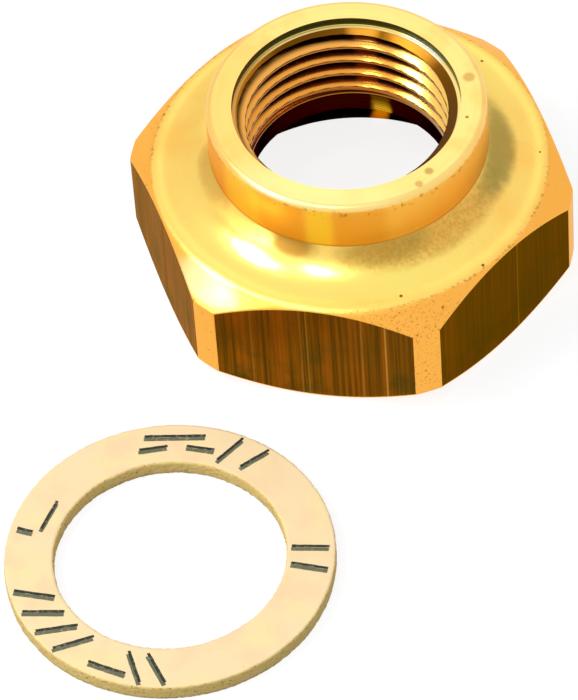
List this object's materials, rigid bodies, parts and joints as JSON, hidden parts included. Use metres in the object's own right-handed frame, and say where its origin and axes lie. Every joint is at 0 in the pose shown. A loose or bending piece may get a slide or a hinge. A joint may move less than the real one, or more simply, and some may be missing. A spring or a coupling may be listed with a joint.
{
  "type": "reducing socket",
  "caption": "Hexagonal brass reducing socket with a wide and a narrow inside pipe thread, with its flat fibre seal lying beside it.",
  "frame": {"origin": "where the pipe axis crosses the flat seat for the seal, which is the inner end of the small bore; the large end's face lies 8.8 mm below it", "axes": "+Z along the pipe axis from the large thread to the small thread; -Y is the normal of one of the hexagon's flats"},
  "size_m": [0.0452, 0.0732, 0.02],
  "materials": {
    "forged_brass": "satin",
    "seal_fibre": "matte"
  },
  "bodies": {
    "root": {"socket_body": "forged_brass", "flat_seal": "seal_fibre"}
  },
  "joints": []
}
